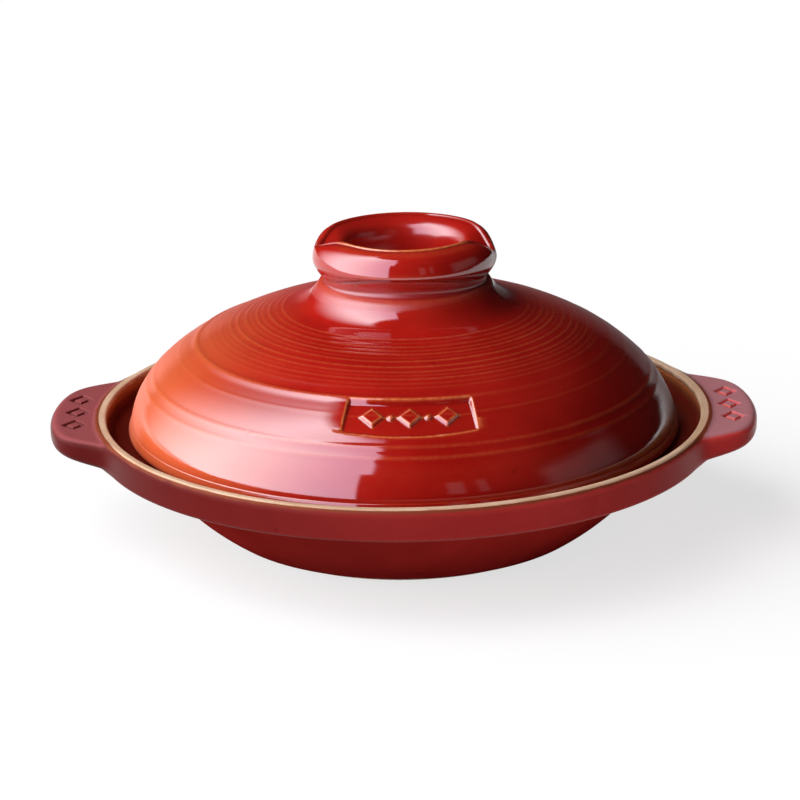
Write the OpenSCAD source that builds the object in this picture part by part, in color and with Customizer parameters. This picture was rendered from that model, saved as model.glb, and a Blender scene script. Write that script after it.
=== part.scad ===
// Glazed clay casserole: a shallow two-lugged pot with a wide gallery, and a domed lid with a hollow
// saddle-lipped knob. Origin at the middle of the foot, +Z up, lugs along X, lid panel towards -Y.
// Every outline that is spun is drawn as radius and height.

/* [Pot] */
// Radius of the rim, to the edge of its bare clay
rim_r = 130; // [110:1:150]
// Height of the pot, from the table to its rim
pot_h = 52; // [44:1:70]
// Thickness of the upright wall round the gallery
rim_w = 3.5; // [3:0.5:6]
// How far the collar stands out beyond the bare rim
collar_step = 1; // [0.5:0.25:2]
// Height of the collar band, from its underside to the rim
collar_h = 13.3; // [12:0.1:16]
// Thickness of the ledge that carries the lid
ledge_t = 4.3; // [3.5:0.1:6]
// Height of the bare clay at the top of the rim
bare_h = 2.2; // [1.5:0.1:3]
// Height of the collar's rounded shoulder
shoulder_h = 3.4; // [2:0.1:4]
// Radius of the collar's rounded shoulder
shoulder_round = 4.1; // [4:0.1:6]
// Rounding of the collar's lower edge
collar_round = 1.2; // [0.5:0.1:2]
// Rounding of the rim's inner edge
rim_round = 1; // [0.5:0.1:1.5]
// Fillet between the gallery's wall and its ledge
gallery_fillet = 3; // [1:0.5:5]
// Height of the bead that locates the lid on the ledge
bead_h = 2.5; // [1.5:0.5:3]
// Thickness of the bead that locates the lid
bead_w = 2.2; // [2:0.1:4]

/* [Bowl] */
// How far the collar overhangs the bowl
collar_overhang = 18.5; // [15:0.5:22]
// How far the bowl's outside narrows from the collar down to the foot
bowl_run = 34; // [28:0.5:40]
// Radius of the curve of the bowl's outside
bowl_curve_r = 108; // [95:1:130]
// Thickness of the bowl's wall
bowl_wall = 8; // [6:0.5:9]
// Thickness of the bowl's floor
floor_t = 7; // [6:0.5:9]
// Fillet between the bowl's floor and its wall
floor_fillet = 24; // [10:1:30]

/* [Foot] */
// How far the foot ring's outside lies inside the bowl's lower edge
foot_inset = 6.5; // [4:0.5:10]
// Width of the foot ring
foot_w = 9; // [6:0.5:14]
// Height of the foot ring
foot_h = 3; // [2:0.5:5]
// Rounding of the foot ring's lower edges
foot_round = 0.8; // [0.4:0.1:1.5]

/* [Lugs] */
// How far a lug reaches out from the collar
lug_reach = 19.5; // [14:0.5:26]
// Thickness of a lug where it runs out along the collar
lug_feather = 0.3; // [0.2:0.1:1]
// How far a lug's top lies below the rim
lug_drop = 1; // [0.5:0.25:2]
// How far a lug's underside rises towards its tip
lug_rise = 4; // [1:0.5:5]
// Rounding of a lug's edges
lug_round = 3; // [2:0.25:3.5]
// Half angle at which a lug has half its reach, in degrees
lug_half_angle = 16.4; // [12:0.2:20]
// Half angle at which a lug runs out, in degrees
lug_end_angle = 26; // [24:1:30]
// How sharply a lug's sides turn in
lug_power = 6.6; // [4:0.2:9]
// How much a lug's tip is rounded across its width
lug_crown_share = 0.15; // [0:0.01:0.3]
// Length of a lozenge pressed into a lug, along the radius
lug_mark_l = 10; // [8:0.5:12]
// Width of a lozenge pressed into a lug
lug_mark_w = 13; // [10:0.5:14]
// Width of the groove that draws the lozenge
lug_mark_groove = 2; // [1.5:0.1:2.5]
// Spacing of the lozenges pressed into a lug
lug_mark_pitch = 17; // [15:0.5:18]
// Depth of the lozenges pressed into a lug
lug_mark_depth = 1.2; // [0.5:0.1:2]

/* [Lid] */
// Height of the lid's rolled edge above the ledge, at the middle of its roll
lip_rise = 3.8; // [3.5:0.1:6]
// Width of the gap between the lid's edge and the gallery's wall
moat_w = 9.2; // [7:0.1:12]
// Radius of the roll of the lid's edge
lip_roll = 2.6; // [2:0.1:3]
// Width of the bare seat under the lid
seat_w = 5; // [4:0.5:6]
// Sideways play between the lid's seat and the bead on the ledge
seat_gap = 1.8; // [0.8:0.1:2.5]
// Height above the ledge at which the dome's ellipse is widest
dome_rise = 1; // [0:0.5:2]
// How far the lid's edge stands out beyond the dome's ellipse
lip_step = 0.7; // [0.5:0.1:2]
// Height of the dome's ellipse above its widest
dome_h = 59.2; // [45:0.1:70]
// Thickness of the lid's wall
lid_wall = 7.5; // [6:0.5:8]
// Height of a throwing ridge on the dome
ridge_h = 0.3; // [0.1:0.1:1]
// Half width of a throwing ridge
ridge_w = 1; // [0.6:0.1:2]
// Height of the flare that carries the knob, above the dome
flare_h = 8; // [5:0.5:10]
// Width of the flare that carries the knob
flare_w = 12; // [8:0.5:16]

/* [Knob] */
// Radius of the seat on which the knob stands
knob_seat_r = 36; // [34:0.5:40]
// Outside radius of the knob's neck
neck_r = 34.4; // [30:0.1:35]
// Radius of the well inside the knob
well_r = 24; // [18:0.5:27]
// Height of the knob's neck at front and back
neck_h = 9.1; // [7:0.1:12]
// Height of the knob's neck at its two sides
neck_side_h = 1.4; // [1:0.1:4]
// Height of the knob above its seat, at front and back
knob_h = 20.2; // [18:0.1:26]
// How far the knob's lip dips at its two sides
lip_sag = 6.5; // [0:0.5:9]
// Radius of the knob's crest at front and back
crest_r = 30.5; // [28:0.5:35]
// How far the knob's crest flares out at its two sides
crest_flare = 6.2; // [0:0.1:8]
// How far the knob's roll swells at front and back
roll_swell = 5.6; // [3:0.1:7]
// How far the knob's roll swells at its two sides
roll_swell_side = 3.2; // [1:0.1:5]
// Thickness of the knob's crest
crest_w = 2.2; // [1.5:0.1:3]

/* [Panel] */
// How far the panel's lower edge lies inside the dome's widest
panel_gap = 15.1; // [12:0.1:18]
// How far the panel's upper edge lies inside its lower edge
panel_run = 13.7; // [11:0.1:17]
// Width of the panel at its upper edge
panel_top_w = 49; // [36:1:60]
// Width of the panel at its lower edge
panel_foot_w = 55; // [40:1:66]
// Depth of the panel's field at its upper edge
panel_depth = 2.2; // [1.5:0.1:3]
// Depth of the step at the panel's lower edge
panel_step = 0.4; // [0.2:0.1:1]
// Run of the sloping bank at the panel's upper edge
panel_bank = 1.4; // [1:0.1:3]
// How far the ornament stands up from the panel's field
relief_h = 1.4; // [0.8:0.1:2]
// Width of a raised lozenge
lozenge_w = 9.5; // [6:0.5:11]
// Room above and below a raised lozenge in the panel's field
lozenge_room = 3.2; // [2:0.1:4]
// Spacing of the raised lozenges
lozenge_pitch = 15; // [13:0.5:16]
// Radius of the raised pellets between the lozenges
pellet_r = 1.3; // [0.8:0.1:1.6]

/* [Hidden] */
$fn = 128;

// One overrun for all cuts
over = 2;

// Glazed and bare clay colours
glaze_dark = [0.42, 0.08, 0.07];
glaze_red = [0.62, 0.13, 0.11];
glaze_satin = [0.55, 0.2, 0.19];
bare_clay = [0.8, 0.64, 0.5];

// Levels and radii of the pot
collar_r = rim_r + collar_step;
bowl_r = collar_r - collar_overhang;
base_r = bowl_r - bowl_run;
foot_r = base_r - foot_inset;
collar_z = pot_h - collar_h;
ledge_z = collar_z + ledge_t;
shoulder_z = pot_h - shoulder_h;
bare_z = pot_h - bare_h;
wall_in_r = rim_r - rim_w;
floor_z = foot_h + floor_t;

// Centre of the curve through the bowl's two outside edges, and the curve of its inside
bowl_c = curve_centre([base_r, foot_h], [bowl_r, collar_z], bowl_curve_r);
cavity_r = bowl_curve_r - bowl_wall;
mouth_r = bowl_c[0] + sqrt(pow(cavity_r, 2) - pow(bowl_c[1] - collar_z, 2));
bead_r = mouth_r + bead_w;

// The fillet in the bowl's cavity touches its floor and its curved wall
fillet_z = floor_z + floor_fillet;
fillet_r = bowl_c[0] + sqrt(pow(cavity_r - floor_fillet, 2) - pow(bowl_c[1] - fillet_z, 2));
fillet_to_wall = [fillet_r - bowl_c[0], fillet_z - bowl_c[1]] / (cavity_r - floor_fillet);
fillet_end = bowl_c + cavity_r * fillet_to_wall;

// Levels and radii of the lid
seat_in_r = bead_r + seat_gap;
seat_r = seat_in_r + seat_w;
lip_r = wall_in_r - moat_w;
dome_r = lip_r - lip_step;
lip_c_r = lip_r - lip_roll;
lip_z = ledge_z + lip_rise;
lip_top_z = lip_z + lip_roll;
lip_low_z = lip_z - lip_roll;
dome_base_z = ledge_z + dome_rise;
dome_foot_r = dome_r * sqrt(1 - pow((lip_top_z - dome_base_z) / dome_h, 2));
shell_r = dome_r - lid_wall;
shell_h = dome_h - lid_wall;
shell_foot_r = shell_r * sqrt(1 - pow((lip_top_z - dome_base_z) / shell_h, 2));
knob_z = dome_z(knob_seat_r) + flare_h;
well_z = dome_base_z + dome_h;

// Radii of the throwing ridges, as shares of the dome's radius, and each one's share of the height
ridge_shares = [0.445, 0.495, 0.538, 0.576, 0.606, 0.631, 0.665, 0.704, 0.753, 0.811, 0.906, 0.933, 0.963];
ridge_h_shares = [0.9, 1, 1, 1, 0.9, 1, 0.8, 0.4, 1.5, 0.4, 0.9, 1.2, 0.7];

// Points of the lid's curves and of the lofted shapes
dome_steps = 150;
shell_steps = 40;
lug_steps = 48;
round_steps = 4;
knob_steps = 56;
roll_steps = 12;
dish_steps = 9;
spout_power = 12;
dish_power = 0.5;
flare_power = 2.2;
corner_turn = 90;
full_turn = 360;

// The centre of a circle of radius r through p and q, on the side of the pot's axis
function curve_centre(p, q, r) =
    let (m = (p + q) / 2, d = q - p, half = norm(d) / 2, side = sqrt(r * r - half * half))
    m + side * [-d[1], d[0]] / norm(d);

function mix(a, b, t) = a + (b - a) * t;

function total(v, i = 0) = i < len(v) ? v[i] + total(v, i + 1) : 0;

// Height of the plain dome over radius r
function dome_z(r) = dome_base_z + dome_h * sqrt(1 - pow(r / dome_r, 2));

// Height that the throwing ridges add at radius r
function ridges(r) =
    ridge_h * total([for (i = [0:len(ridge_shares) - 1])
        ridge_h_shares[i] * exp(-pow((r - ridge_shares[i] * dome_r) / ridge_w, 2))]);

// Height that the flare under the knob adds at radius r
function flare(r) = flare_h * pow(max(0, 1 - (r - knob_seat_r) / flare_w), flare_power);

// Height of the lid's glazed outside over radius r
function lid_z(r) = dome_z(r) + ridges(r) + flare(r);

// Bell curve of a lug over angle a from its middle, and its share of the reach, which ends at nothing
function lug_bell(a) =
    (1 - lug_crown_share * pow(a / lug_half_angle, 2)) / (1 + pow(abs(a) / lug_half_angle, lug_power));
function lug_share(a) = (lug_bell(a) - lug_bell(lug_end_angle)) / (1 - lug_bell(lug_end_angle));

// Radius of the collar's outside at height z, and of facets laid against it
function collar_out(z) =
    collar_r - shoulder_round + (z > shoulder_z ? sqrt(pow(shoulder_round, 2) - pow(z - shoulder_z, 2)) : shoulder_round);
function collar_facet(z) = collar_out(z) / cos(lug_end_angle / lug_steps);

// Saddle shares round the knob: a soft one for its neck and a narrow one for its two spouts
function saddle(a) = pow(cos(a), 2);
function spout(a) = pow(abs(cos(a)), spout_power);

// A closed skin over rings of points: the rings close on themselves, or strips across them cap the two ends
module skin(rings, closed) {
    n = len(rings);
    m = len(rings[0]);
    last = (n - 1) * m;
    spans = closed ? n : n - 1;
    sides = [for (i = [0:spans - 1], j = [0:m - 1])
        let (k = (i + 1) % n, l = (j + 1) % m) [i * m + j, k * m + j, k * m + l, i * m + l]];
    caps = closed ? [] : concat(
        [for (j = [0:m / 2 - 2]) [j, j + 1, m - 2 - j, m - 1 - j]],
        [for (j = [0:m / 2 - 2]) [last + m - 1 - j, last + m - 2 - j, last + j + 1, last + j]]);
    polyhedron(points = [for (r = rings) each r], faces = concat(sides, caps));
}

// The region that a rounded corner at [x, z] loses; sx and sz point from the corner into the material
module corner_loss(x, z, r, sx, sz) {
    translate([x, z])
        scale([sx, sz])
            difference() {
                translate([-over, -over])
                    square([r + over, r + over]);
                translate([r, r])
                    circle(r);
                translate([r, -over])
                    square(over + r);
                translate([-over, r])
                    square(over + r);
            }
}

// Outside of the collar and rim, filled in to the axis
module collar_outline() {
    difference() {
        union() {
            translate([0, collar_z])
                square([collar_r, shoulder_z - collar_z]);
            translate([0, shoulder_z])
                square([collar_r - shoulder_round, shoulder_h]);
            intersection() {
                translate([collar_r - shoulder_round, shoulder_z])
                    circle(shoulder_round);
                translate([0, shoulder_z - over])
                    square([collar_r, shoulder_h + over]);
            }
        }
        corner_loss(collar_r, collar_z, collar_round, -1, 1);
    }
}

// Space inside the gallery wall, above the ledge
module gallery_outline() {
    translate([0, ledge_z])
        square([wall_in_r - gallery_fillet, collar_h]);
    translate([0, ledge_z + gallery_fillet])
        square([wall_in_r, collar_h]);
    translate([wall_in_r - gallery_fillet, ledge_z + gallery_fillet])
        circle(gallery_fillet);
}

// Section of the gallery wall, its ledge and its locating bead
module gallery_section() {
    difference() {
        collar_outline();
        gallery_outline();
        translate([0, collar_z - over])
            square([mouth_r, collar_h + 2 * over]);
        corner_loss(wall_in_r, pot_h, rim_round, 1, -1);
    }
    translate([mouth_r, ledge_z])
        square([bead_w, bead_h - bead_w / 2]);
    translate([mouth_r + bead_w / 2, ledge_z + bead_h - bead_w / 2])
        circle(bead_w / 2);
}

// Space inside the bowl, up to the collar
module cavity_outline() {
    polygon([[0, floor_z], [fillet_r, floor_z], [fillet_r, fillet_z], fillet_end, [0, fillet_end[1]]]);
    translate([fillet_r, fillet_z])
        circle(floor_fillet);
    intersection() {
        translate(bowl_c)
            circle(cavity_r);
        translate([0, fillet_end[1]])
            square([bowl_r, collar_z - fillet_end[1] + over]);
    }
}

module foot_ring() {
    color(bare_clay)
        rotate_extrude()
            difference() {
                translate([foot_r - foot_w, 0])
                    square([foot_w, foot_h]);
                corner_loss(foot_r, 0, foot_round, -1, 1);
                corner_loss(foot_r - foot_w, 0, foot_round, 1, 1);
            }
}

module bowl() {
    color(glaze_dark)
        rotate_extrude()
            difference() {
                intersection() {
                    union() {
                        translate(bowl_c)
                            circle(bowl_curve_r);
                        square([base_r, collar_z]);
                    }
                    translate([0, foot_h])
                        square([bowl_r, collar_z - foot_h]);
                }
                cavity_outline();
            }
}

// The ledge, with everything that stands on it inside the lid's seat
module gallery_ledge() {
    color(glaze_satin)
        rotate_extrude()
            intersection() {
                gallery_section();
                union() {
                    square([collar_r, ledge_z]);
                    square([seat_in_r, pot_h]);
                }
            }
}

module rim_collar() {
    color(glaze_satin)
        rotate_extrude()
            intersection() {
                gallery_section();
                translate([seat_in_r, ledge_z])
                    square([collar_r - seat_in_r, bare_z - ledge_z]);
            }
}

module bare_rim() {
    color(bare_clay)
        rotate_extrude()
            intersection() {
                gallery_section();
                translate([0, bare_z])
                    square([collar_r, bare_h]);
            }
}

// Section of a lug at angle a from its middle, laid against the collar, as points in space
function lug_ring(a) =
    let (
        edge = collar_r + lug_feather + (lug_reach - lug_feather) * lug_share(a),
        top = pot_h - lug_drop,
        root = collar_z + collar_round,
        low = root + (lug_rise - collar_round) * lug_share(a),
        outside = concat(
            [for (i = [0:round_steps]) let (t = corner_turn * i / round_steps)
                [edge - lug_round * (1 - sin(t)), low + lug_round * (1 - cos(t))]],
            [for (i = [0:round_steps]) let (t = corner_turn * i / round_steps)
                [edge - lug_round * (1 - cos(t)), top - lug_round * (1 - sin(t))]]),
        clear = [for (p = outside) [max(p[0], collar_out(p[1]) + lug_feather), p[1]]],
        inside = [for (i = [len(clear) - 1:-1:0]) let (z = i == 0 ? root : clear[i][1]) [collar_facet(z), z]])
    [for (p = concat(clear, inside)) [p[0] * cos(a), p[0] * sin(a), p[1]]];

// The right-hand lug, with a row of lozenges pressed into its top
module lug() {
    difference() {
        skin([for (i = [0:lug_steps]) lug_ring(mix(lug_end_angle, -lug_end_angle, i / lug_steps))], false);
        for (i = [-1:1])
            translate([collar_r + (lug_reach - lug_round) / 2, i * lug_mark_pitch, pot_h - lug_drop - lug_mark_depth])
                linear_extrude(over)
                    difference() {
                        lozenge(lug_mark_l, lug_mark_w);
                        lozenge(lug_mark_l - 2 * lug_mark_groove, lug_mark_w - 2 * lug_mark_groove * lug_mark_w / lug_mark_l);
                    }
    }
}

module left_lug() {
    color(glaze_satin)
        mirror([1, 0, 0])
            lug();
}

module right_lug() {
    color(glaze_satin)
        lug();
}

module lozenge(w, l) {
    polygon([[w / 2, 0], [0, l / 2], [-w / 2, 0], [0, -l / 2]]);
}

module lid_seat() {
    color(bare_clay)
        rotate_extrude()
            translate([seat_in_r, ledge_z])
                square([seat_w, lip_low_z - ledge_z]);
}

module lid_lip() {
    color(glaze_red)
        rotate_extrude() {
            translate([seat_in_r, lip_low_z])
                square([lip_c_r - seat_in_r, 2 * lip_roll]);
            translate([seat_in_r, lip_z])
                square([dome_foot_r - seat_in_r, lip_roll]);
            translate([lip_c_r, lip_z])
                circle(lip_roll);
        }
}

// Section of the lid from its well out over the dome, down to its foot and back inside
module dome_section() {
    outside = [for (i = [0:dome_steps])
        let (r = mix(knob_seat_r, dome_foot_r, i / dome_steps))
        [r, i == dome_steps ? lip_top_z : lid_z(r)]];
    inside = [for (i = [0:shell_steps])
        let (r = shell_foot_r * cos(corner_turn * i / shell_steps))
        [r, i == 0 ? lip_top_z : dome_base_z + shell_h * sqrt(1 - pow(r / shell_r, 2))]];
    polygon(concat([[0, well_z], [well_r, well_z], [well_r, knob_z]], outside, inside));
}

panel_foot_r = dome_r - panel_gap;
panel_top_r = panel_foot_r - panel_run;
panel_foot = [panel_foot_r, dome_z(panel_foot_r) - panel_step];
panel_head = [panel_top_r + panel_bank, dome_z(panel_top_r + panel_bank) - panel_depth];
panel_slope = atan2(panel_head[1] - panel_foot[1], panel_foot[0] - panel_head[0]);
panel_normal = [sin(panel_slope), cos(panel_slope)];
panel_mid = (panel_foot + panel_head) / 2;
panel_clear = 2 * ridge_h + panel_depth;
lozenge_l = norm(panel_head - panel_foot) - 2 * lozenge_room;

// Section of what the panel takes out of the dome
module panel_section() {
    polygon([panel_foot, panel_head, [panel_top_r, dome_z(panel_top_r)],
        [panel_top_r, dome_z(panel_top_r) + panel_clear],
        panel_head + panel_clear * panel_normal,
        [panel_foot_r, dome_z(panel_foot_r)] + panel_clear * panel_normal,
        [panel_foot_r, dome_z(panel_foot_r)]]);
}

// The panel's window, seen from above the lid
module panel_window() {
    linear_extrude(well_z)
        polygon([[-panel_top_w / 2, -panel_top_r / 2], [-panel_top_w / 2, -panel_top_r],
            [-panel_foot_w / 2, -panel_foot_r], [-panel_foot_w / 2, -panel_foot_r - panel_clear],
            [panel_foot_w / 2, -panel_foot_r - panel_clear], [panel_foot_w / 2, -panel_foot_r],
            [panel_top_w / 2, -panel_top_r], [panel_top_w / 2, -panel_top_r / 2]]);
}

module lid_dome() {
    color(glaze_red)
        difference() {
            rotate_extrude()
                dome_section();
            intersection() {
                rotate_extrude()
                    panel_section();
                panel_window();
            }
        }
}

// Raised lozenges with pellets between them, standing on the panel's field
module panel_relief() {
    color(glaze_red)
        intersection() {
            rotate_extrude()
                polygon([panel_foot, panel_head, panel_head + relief_h * panel_normal,
                    panel_foot + relief_h * panel_normal]);
            translate([0, -panel_mid[0], panel_mid[1]])
                rotate([panel_slope, 0, 0])
                    translate([0, 0, -lozenge_l])
                        linear_extrude(2 * lozenge_l) {
                            for (i = [-1:1])
                                translate([i * lozenge_pitch, 0])
                                    lozenge(lozenge_w, lozenge_l);
                            for (i = [-1, 1])
                                translate([i * lozenge_pitch / 2, 0])
                                    circle(pellet_r);
                        }
        }
}

// Section of the knob's ring at angle a, from its foot out over the roll and back down the dish
function knob_ring(a) =
    let (
        crease = knob_z + mix(neck_h, neck_side_h, saddle(a)),
        top = knob_z + knob_h - lip_sag * spout(a),
        top_r = crest_r + crest_flare * spout(a),
        swell = mix(roll_swell, roll_swell_side, saddle(a)),
        roll = [for (i = [0:roll_steps]) let (t = i / roll_steps)
            [mix(neck_r, top_r, t) + swell * sin(full_turn / 2 * t), mix(crease, top, t)]],
        dish = [for (i = [0:dish_steps]) let (t = 1 - i / dish_steps)
            [mix(well_r, top_r - crest_w, pow(t, dish_power)), mix(knob_z, top - crest_w / 4, t)]],
        outline = concat([[neck_r, knob_z]], roll, dish))
    [for (p = outline) [p[0] * cos(a), p[0] * sin(a), p[1]]];

module lid_knob() {
    color(glaze_red)
        skin([for (i = [0:knob_steps - 1]) knob_ring(-full_turn * i / knob_steps)], true);
}

foot_ring();
bowl();
gallery_ledge();
rim_collar();
bare_rim();
left_lug();
right_lug();
lid_seat();
lid_lip();
lid_dome();
panel_relief();
lid_knob();
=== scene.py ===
"""Dresses the packed clay casserole: its glazed and bare surfaces, studio light and camera.

Lengths are millimetres in the sizes and profiles, and become metres where a mesh is made.
"""

import logging
import math
from dataclasses import dataclass
from enum import Enum
from functools import cache
from typing import Callable, Sequence

import bmesh
import bpy
from mathutils import Matrix, Vector, noise


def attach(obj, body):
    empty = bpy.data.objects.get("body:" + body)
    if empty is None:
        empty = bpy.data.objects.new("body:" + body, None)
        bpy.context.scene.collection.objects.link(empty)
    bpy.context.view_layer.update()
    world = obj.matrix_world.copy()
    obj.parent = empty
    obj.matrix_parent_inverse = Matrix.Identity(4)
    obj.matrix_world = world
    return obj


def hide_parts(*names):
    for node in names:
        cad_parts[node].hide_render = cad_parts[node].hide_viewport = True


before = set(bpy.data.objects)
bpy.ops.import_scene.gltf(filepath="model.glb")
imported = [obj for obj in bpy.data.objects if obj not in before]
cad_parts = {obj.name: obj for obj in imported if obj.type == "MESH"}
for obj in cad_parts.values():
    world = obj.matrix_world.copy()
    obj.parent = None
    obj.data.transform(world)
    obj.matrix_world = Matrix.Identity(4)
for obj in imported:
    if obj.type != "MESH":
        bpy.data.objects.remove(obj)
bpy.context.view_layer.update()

LOG = logging.getLogger("casserole")
MM = 0.001
MERGE = 1e-6
HALVINGS = 26

Point = tuple[float, float]
Profile = list[Point]
Colour = tuple[float, float, float, float]
Object, Material = bpy.types.Object, bpy.types.Material
Node, NodeTree, Socket = bpy.types.Node, bpy.types.NodeTree, bpy.types.NodeSocket


class Body(Enum):
    """The two bodies of the part."""

    POT = "pot"
    LID = "lid"


class Slot(Enum):
    """The names of the material slots."""

    DARK_GLAZE = "dark_glaze"
    POT_GLAZE = "pot_glaze"
    LID_GLAZE = "lid_glaze"
    BARE_CLAY = "bare_clay"


# Small functions of numbers

def mix(a: float, b: float, t: float) -> float:
    """Returns the value a share t of the way from a to b."""
    return a + (b - a) * t


def clamp(x: float) -> float:
    """Returns x held between 0 and 1."""
    return min(1.0, max(0.0, x))


def smooth(edge0: float, edge1: float, x: float) -> float:
    """Returns a smooth step from 0 at edge0 to 1 at edge1."""
    t = clamp((x - edge0) / (edge1 - edge0))
    return t * t * (3 - 2 * t)


def bump(x: float, width: float) -> float:
    """Returns a bell of height 1 and the given half width."""
    return math.exp(-((x / width) ** 2))


def srgb(red: int, green: int, blue: int) -> Colour:
    """Turns a screen colour into a linear one.

    Args:
        red, green, blue: Screen values from 0 to 255.

    Returns:
        The linear colour with full alpha.
    """
    def linear(v: float) -> float:
        v /= 255
        return v / 12.92 if v <= 0.04045 else ((v + 0.055) / 1.055) ** 2.4

    return (linear(red), linear(green), linear(blue), 1.0)


def arc(centre: Point, radius: float, start: float, end: float, steps: int) -> Profile:
    """Returns points along a round stretch of a profile.

    Args:
        centre: Middle of the circle.
        radius: Its radius.
        start, end: Angles in degrees, from the outward direction towards up.
        steps: Number of chords.
    """
    turns = [math.radians(mix(start, end, i / steps)) for i in range(steps + 1)]
    return [(centre[0] + radius * math.cos(t), centre[1] + radius * math.sin(t)) for t in turns]


def between(start: Point, end: Point, t: float) -> Point:
    """Returns the point a share t of the way from start to end."""
    return mix(start[0], end[0], t), mix(start[1], end[1], t)


def line(start: Point, end: Point, steps: int) -> Profile:
    """Returns evenly spaced points after start, up to and with end."""
    return [between(start, end, i / steps) for i in range(1, steps + 1)]


def curve(controls: Sequence[Point], steps: int) -> Profile:
    """Returns points along a smooth curve, without its start.

    Args:
        controls: The start, the points that pull the curve, and the end.
        steps: Number of chords.
    """
    made = []
    for i in range(1, steps + 1):
        points = list(controls)
        while len(points) > 1:
            points = [between(a, b, i / steps) for a, b in zip(points, points[1:])]
        made.append(points[0])
    return made


def round_cut(a: float, b: float, radius: float) -> float:
    """Returns the distance to where two half planes meet, with a rounded corner."""
    return min(-radius, max(a, b)) + math.hypot(max(a + radius, 0), max(b + radius, 0))


def round_join(a: float, b: float, radius: float) -> float:
    """Returns the distance to two shapes joined with a fillet."""
    return max(radius, min(a, b)) - math.hypot(max(radius - a, 0), max(radius - b, 0))


def lozenge_distance(u: float, v: float, half_u: float, half_v: float) -> float:
    """Returns about how far a point lies outside a lozenge, less than 0 inside."""
    return (abs(u) / half_u + abs(v) / half_v - 1) * half_u * half_v / math.hypot(half_u, half_v)


# Meshes that are turned on the wheel

class Turned:
    """A mesh spun from a profile round the Z axis, whose rings can then be shaped one by one."""

    def __init__(self, profile: Profile, spans: Sequence[tuple[float, int]], closed: bool) -> None:
        """Spins the profile.

        Args:
            profile: Points as radius and height.
            spans: Angles in degrees and the number of steps in each, 360 degrees in all.
            closed: Whether the last point joins the first.
        """
        self.bm = bmesh.new()
        self.row = self.bm.verts.layers.int.new("row")
        verts = [self.bm.verts.new((r * MM, 0, z * MM)) for r, z in profile]
        for i, vert in enumerate(verts):
            vert[self.row] = i
        after = verts[1:] + (verts[:1] if closed else [])
        geometry = verts + [self.bm.edges.new(pair) for pair in zip(verts, after)]
        for angle, steps in spans:
            turn = bmesh.ops.spin(
                self.bm, geom=geometry, cent=(0, 0, 0), axis=(0, 0, 1),
                angle=math.radians(angle), steps=steps)
            geometry = turn["geom_last"]
        self.clean()

    def clean(self) -> None:
        """Closes seams and poles, and turns the faces outwards."""
        bmesh.ops.remove_doubles(self.bm, verts=self.bm.verts, dist=MERGE)
        bmesh.ops.dissolve_degenerate(self.bm, dist=MERGE / 10, edges=self.bm.edges)
        bmesh.ops.recalc_face_normals(self.bm, faces=self.bm.faces)

    def shape(self, place: Callable[[int, float], Point]) -> None:
        """Moves every point to where place puts its row at its angle.

        Args:
            place: Takes a row and an angle in degrees, returns radius and height.
        """
        for vert in self.bm.verts:
            turn = math.atan2(vert.co.y, vert.co.x)
            r, z = place(vert[self.row], round(math.degrees(turn), 3))
            vert.co = Vector((r * math.cos(turn), r * math.sin(turn), z)) * MM

    def refine(self, wanted: Callable[[Vector], bool], cuts: int, along: bool) -> None:
        """Splits the edges whose two ends are wanted.

        Args:
            wanted: Tells whether a place in millimetres is in the zone.
            cuts: Number of cuts in each edge.
            along: Whether edges up the profile are split too.
        """
        inside = {v for v in self.bm.verts if wanted(v.co / MM)}
        edges = [e for e in self.bm.edges if e.verts[0] in inside and e.verts[1] in inside
                 and (along or e.verts[0][self.row] == e.verts[1][self.row])]
        bmesh.ops.subdivide_edges(self.bm, edges=edges, cuts=cuts, use_grid_fill=True)

    def lean(self, shift: Callable[[float], float]) -> None:
        """Moves every point sideways by an amount that follows from its height."""
        for vert in self.bm.verts:
            vert.co.x += shift(vert.co.z / MM) * MM

    def finish(self, name: str, breaking: Callable[[Vector], float] = lambda p: 1.0) -> Object:
        """Makes the object, with how sharply its surface bends kept as attributes.

        Args:
            name: The piece's name.
            breaking: Tells how strongly a crest is marked at a place in millimetres.

        Returns:
            The object, smooth shaded, in the scene.
        """
        self.bm.normal_update()
        mark_bends(self.bm, breaking)
        mesh = bpy.data.meshes.new(name)
        self.bm.to_mesh(mesh)
        self.bm.free()
        mesh.shade_smooth()
        piece = bpy.data.objects.new(name, mesh)
        bpy.context.scene.collection.objects.link(piece)
        return piece


def wheel(profile: Profile, columns: int, closed: bool = True) -> Turned:
    """Returns a profile spun evenly in one full turn."""
    return Turned(profile, ((360.0, columns),), closed)


def mark_bends(bm: bmesh.types.BMesh, breaking: Callable[[Vector], float]) -> None:
    """Stores where the surface is a crest and where a hollow, for glaze that runs off and pools.

    Args:
        bm: The mesh. It gets the float attributes crest and hollow, 1 at a bend of 1 mm radius.
        breaking: Tells the factor on a crest at a place in millimetres.
    """
    tight = 1 / MM
    crest = bm.verts.layers.float.new("crest")
    hollow = bm.verts.layers.float.new("hollow")
    raw: dict[int, tuple[float, float]] = {}
    bm.verts.index_update()
    for vert in bm.verts:
        most, least = 0.0, 0.0
        for edge in vert.link_edges:
            arm = vert.co - edge.other_vert(vert).co
            bend = 2 * arm.dot(vert.normal) / max(arm.length_squared, 1e-12)
            most, least = max(most, bend), min(least, bend)
        raw[vert.index] = (most / tight, -least / tight)
    for vert in bm.verts:
        near = [raw[e.other_vert(vert).index] for e in vert.link_edges] + [raw[vert.index]] * 2
        vert[crest] = breaking(vert.co / MM) * min(2.0, sum(n[0] for n in near) / len(near))
        vert[hollow] = min(2.0, sum(n[1] for n in near) / len(near))


# Shader nodes

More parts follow.
